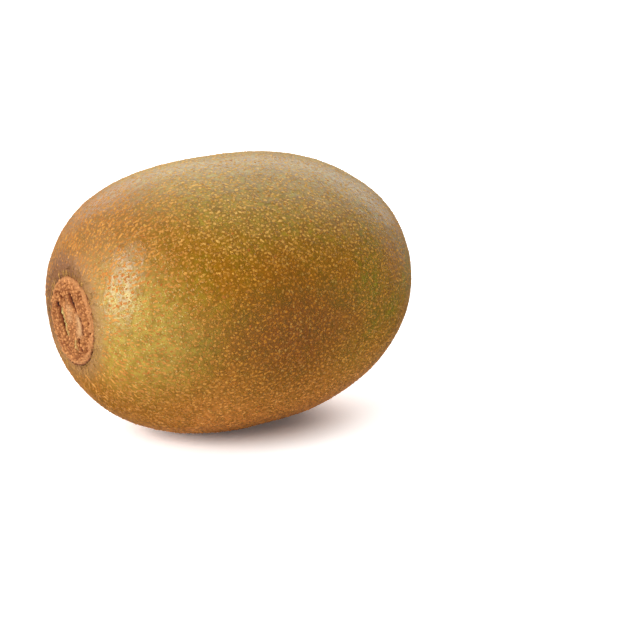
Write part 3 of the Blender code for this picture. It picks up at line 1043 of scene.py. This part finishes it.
# %% Paint the lenticels and flecks
def lenticel_material():
    material, tree, shader, place = new_material("lenticel_cork")
    tone = attribute(tree, "tone")

    def between(dark, light):
        return mix_colour(tree, tone, tint(*dark), tint(*light))

    near_pale = use(tree, near_spot, place, Centre=PALE_AND_HIGHLIT_SHOULDER, Near=10 * MM, Far=24 * MM)["Mask"]
    rusty_end = math_node(tree, "MAXIMUM", near_pale, level(tree, place, "X", -12 * MM, -27 * MM))
    colour = coats(
        tree,
        between((164, 106, 14), (194, 140, 42)),
        # lighter on the top, partly as painted sheen
        (level(tree, place, "Z", 5 * MM, 20 * MM), 1.0, between((172, 128, 48), (206, 166, 90))),
        # lighter on the underside, partly as painted light from the table
        (level(tree, place, "Z", -5 * MM, -18 * MM), 1.0, between((182, 106, 32), (222, 154, 78))),
        # darker on the brown flank, partly as painted shade
        (use(tree, near_spot, place, Centre=BROWN_AND_SHADED_FLANK, Near=3 * MM, Far=22 * MM)["Mask"], 1.0,
         between((138, 78, 2), (172, 110, 16))),
        (rusty_end, 1.0, between((138, 82, 24), (176, 122, 52))),
        (use(tree, mottle, place, Size=0.25 * MM, Contrast=2.0, Detail=2.0)["Value"], 0.35, tint(150, 90, 20)),
    )
    finish(tree, shader, colour, roughness=0.7, ior=1.35)
    return material


paint(lenticel_material(), lenticels, flecks)

# %% [markdown]
# ## Paint of the rust spots, the hairs and the withered flower
#
# These three are dry and brown, and small. A tone from stamp to stamp and a fine grit are enough for them, with
# a relief for the two that are wide enough to show it.

# %% Paint the rust spots
def rust_material():
    material, tree, shader, place = new_material("rust_spot")
    grit = use(tree, mottle, place, Size=0.3 * MM, Contrast=3.0, Detail=3.0)["Value"]
    ground = mix_colour(tree, attribute(tree, "tone"), tint(148, 84, 28), tint(174, 110, 44))
    finish(tree, shader, coats(tree, ground, (grit, 0.5, tint(132, 70, 20))), roughness=0.8, ior=1.3)
    relieve(tree, shader, grit, 0.6, 0.05 * MM)
    return material


paint(rust_material(), rust_spots)


# %% Paint the hairs
def hair_material():
    material, tree, shader, _ = new_material("fruit_hair")
    colour = mix_colour(tree, attribute(tree, "tone"), tint(104, 66, 24), tint(186, 142, 74))
    finish(tree, shader, colour, roughness=0.7, ior=1.25)
    return material


paint(hair_material(), stem_fringe, end_down)


# %% Paint the withered styles
def withered_material():
    material, tree, shader, place = new_material("withered_fibre")
    grit = use(tree, mottle, place, Size=0.5 * MM, Contrast=3.0, Detail=3.0)["Value"]
    finish(tree, shader, mix_colour(tree, grit, tint(46, 30, 18), tint(112, 78, 48)), roughness=0.75, ior=1.5)
    relieve(tree, shader, grit, 0.7, 0.08 * MM)
    return material


paint(withered_material(), style_tuft)

# %% [markdown]
# ## Paint of the scar
#
# The mesh of the scar already knows how deep each corner lies, whether it is on top of a grain, and where wood
# or green flesh shows, because those were stored as attributes when it was shaped. The paint reads them, so a
# dark slot can never slide off the hollow that it belongs to. The darkness of the slots, the pits, the seams and
# the outermost edge is partly painted shade, and the lighter grain tops are partly painted light.

# %% Paint the scar
def cork_material():
    material, tree, shader, place = new_material("stem_scar_cork")
    hollow, from_axis = attribute(tree, "hollow"), attribute(tree, "from_axis")
    patches = use(tree, mottle, place, Size=1.6 * MM, Contrast=3.4, Detail=2.0)["Value"]
    grit = use(tree, mottle, place, Size=0.5 * MM, Contrast=6.0, Detail=1.0)["Value"]
    green = fade(tree, attribute(tree, "green"), 0.2, 1.0)
    bare_wood = math_node(tree, "MULTIPLY", attribute(tree, "wood"), fade(tree, hollow, 0.60, 0.45))
    colour = coats(
        tree,
        mix_colour(tree, patches, tint(104, 56, 24), tint(128, 80, 40)),              # the seams between the grains, darker partly as painted shade
        (fade(tree, attribute(tree, "grain"), 0.10, 0.55), 0.8, tint(182, 124, 72)),  # the tops of the grains, lighter partly as painted light
        (grit, 0.45, tint(112, 62, 28)),
        (fade(tree, from_axis, 0.86, 0.95), 0.7, tint(172, 118, 72)),                 # the paler rim
        (fade(tree, from_axis, 0.965, 1.0), 1.0, tint(104, 60, 34)),                  # its outermost edge: a painted shadow in the gap round the rim
        # dark red in the slots and pits: partly the torn tissue's own red, partly painted shade
        (fade(tree, hollow, 0.12, 0.5), 1.0, tint(100, 46, 18)),
        (bare_wood, 0.9, tint(170, 132, 90)),
        (thinned(tree, green, 1.0, 0.6, grit), 1.0, tint(156, 140, 82)),
        (fade(tree, hollow, 0.45, 0.8), 1.0, tint(34, 17, 7)),                        # the floors of the slots, near black: painted shade
    )
    finish(tree, shader, colour, roughness=0.85, ior=1.3)
    relieve(tree, shader, grit, 0.8, 0.10 * MM)
    return material


paint(cork_material(), stem_cork)

# %% [markdown]
# ## Light
#
# Large soft boxes stand round the table, as in a studio for pictures of food. The key light stands off the stem
# end and makes the broad highlight on the shoulder. The others fill the shadows or put a pale edge on the top.
# Two of them light the fruit but are kept out of its gloss, so that the skin shows one highlight and not three.
# The size of a light sets how soft it is, and the brightness of its surface stays the same when it grows.

# %% Soft boxes
LIGHT_DISTANCE = 0.9
SOFT_BOXES = (   # name, azimuth and elevation in degrees, width, height, brightness, whether the gloss shows it
    ("key_softbox", -92, 15, 0.40, 0.70, 11.0, True),
    ("key_top", -93, 42, 0.30, 0.30, 4.5, True),
    ("left_softbox", -130, 22, 0.45, 0.45, 1.4, True),
    ("front_softbox", -60, 32, 0.45, 0.45, 5.6, False),
    ("right_softbox", 95, 30, 0.6, 0.6, 1.4, False),
    ("back_softbox", 140, 38, 1.5, 0.9, 0.98, True),
)


def soft_box(name, azimuth, elevation, width, height, radiance, in_gloss):
    """A rectangular studio light that faces the fruit, with the brightness of its surface given."""
    data = bpy.data.lights.new(name, "AREA")
    data.shape = "RECTANGLE"
    data.size, data.size_y = width, height
    data.energy = radiance * math.pi * width * height
    lamp = bpy.data.objects.new(name, data)
    bpy.context.scene.collection.objects.link(lamp)
    turn, lift = math.radians(azimuth), math.radians(elevation)
    away = Vector((math.sin(turn) * math.cos(lift), -math.cos(turn) * math.cos(lift), math.sin(lift)))
    lamp.location = middle + away * LIGHT_DISTANCE
    lamp.rotation_mode = "QUATERNION"
    lamp.rotation_quaternion = away.to_track_quat("Z", "Y")
    lamp.visible_glossy = in_gloss
    print(f"{name}: {data.energy:.2f} W")


for box in SOFT_BOXES:
    soft_box(*box)

# %% [markdown]
# ## The white room
#
# Gloss needs something to mirror. The room round the table is white, brightest up behind the fruit, where it
# puts the pale sheen on the crown, and darker below the table's level. The camera itself sees it as plain white.

# %% Surroundings
ROOM_FRONT, ROOM_BEHIND = 0.15, 1.15      # brightness of the room in front of the fruit and behind it
ROOM_BELOW = 0.15                         # share of that below the table
UP_BEHIND = (0.46, 0.54, 0.70)            # the direction in which the room is brightest
BACKDROP = 1.1                            # what the camera sees
WHITE = (1.0, 1.0, 1.0, 1.0)


def white_room():
    world = bpy.data.worlds.new("white_room")
    bpy.context.scene.world = world
    world.use_nodes = True
    tree = world.node_tree
    tree.nodes.clear()
    direction = add(tree, "ShaderNodeTexCoord").outputs["Generated"]
    facing = vector_node(tree, "DOT_PRODUCT", direction, UP_BEHIND, "Value")
    grey = {"Value": fade(tree, facing, 0.3, 0.95), "To Min": ROOM_FRONT, "To Max": ROOM_BEHIND}
    grey = add(tree, "ShaderNodeMapRange", grey).outputs["Result"]
    rise = add(tree, "ShaderNodeSeparateXYZ", {0: direction}).outputs["Z"]
    walls = {"Value": rise, "From Min": -0.35, "From Max": 0.0, "To Min": ROOM_BELOW}
    walls = add(tree, "ShaderNodeMapRange", walls).outputs["Result"]
    brightness = math_node(tree, "MULTIPLY", grey, walls)
    room = add(tree, "ShaderNodeBackground", {"Color": WHITE, "Strength": brightness}).outputs[0]
    backdrop = add(tree, "ShaderNodeBackground", {"Color": WHITE, "Strength": BACKDROP}).outputs[0]
    seen = add(tree, "ShaderNodeLightPath").outputs["Is Camera Ray"]
    both = add(tree, "ShaderNodeMixShader", {0: seen, 1: room, 2: backdrop})
    add(tree, "ShaderNodeOutputWorld", {"Surface": both.outputs[0]})
    print("white room:", len(tree.nodes), "nodes")


white_room()

# %% [markdown]
# ## The table
#
# The fruit lies on a white table whose far edge can't be told from the backdrop. A white sheet lit only by the
# lamps would look grey, so it is given a faint painted glow, which also puts painted light on the fruit's
# underside. The glow is weak right under the fruit, which paints a soft shadow there, and strong far away, where
# the table meets the backdrop.

# %% Table
TABLE_HALF_SIZE = 3.0
table_work = bmesh.new()
bmesh.ops.create_grid(table_work, x_segments=1, y_segments=1, size=TABLE_HALF_SIZE)
floor = add_piece("floor", table_work)
floor.visible_glossy = False
contact = Vector((middle.x, middle.y, 0.0))


def table_material():
    material, tree, shader, place = new_material("white_floor")
    near_table = use(tree, near_spot, place, Centre=contact, Near=0.15, Far=0.5)["Mask"]
    painted_shadow_under_fruit = use(tree, near_spot, place, Centre=contact, Near=10 * MM, Far=28 * MM)["Mask"]
    # a painted glow, strong far off, which also lights the fruit from below, and a painted shadow right under the
    # fruit
    glow = mix_colour(tree, near_table, (3.0, 3.0, 3.0, 1.0), WHITE)
    glow = mix_colour(tree, painted_shadow_under_fruit, glow, (0.155, 0.15, 0.15, 1.0))
    tree.links.new(glow, shader.inputs["Emission Color"])
    shader.inputs["Emission Strength"].default_value = 0.40
    shader.inputs["Base Color"].default_value = (0.93, 0.93, 0.93, 1.0)
    shader.inputs["Roughness"].default_value = 0.9
    shader.inputs["IOR"].default_value = 1.1
    return material


paint(table_material(), floor)
bpy.context.scene.view_settings.view_transform = "Standard"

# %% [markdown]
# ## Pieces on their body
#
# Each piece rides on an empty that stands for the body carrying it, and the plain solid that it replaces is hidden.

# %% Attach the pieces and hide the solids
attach(fruit_skin, "root")
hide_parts("fruit")
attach(lenticels, "root")
for trim in (flecks, rust_spots, stem_fringe, end_down):
    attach(trim, "root")
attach(style_tuft, "root")
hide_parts("dried_styles")
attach(stem_cork, "root")
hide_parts("stem_scar")
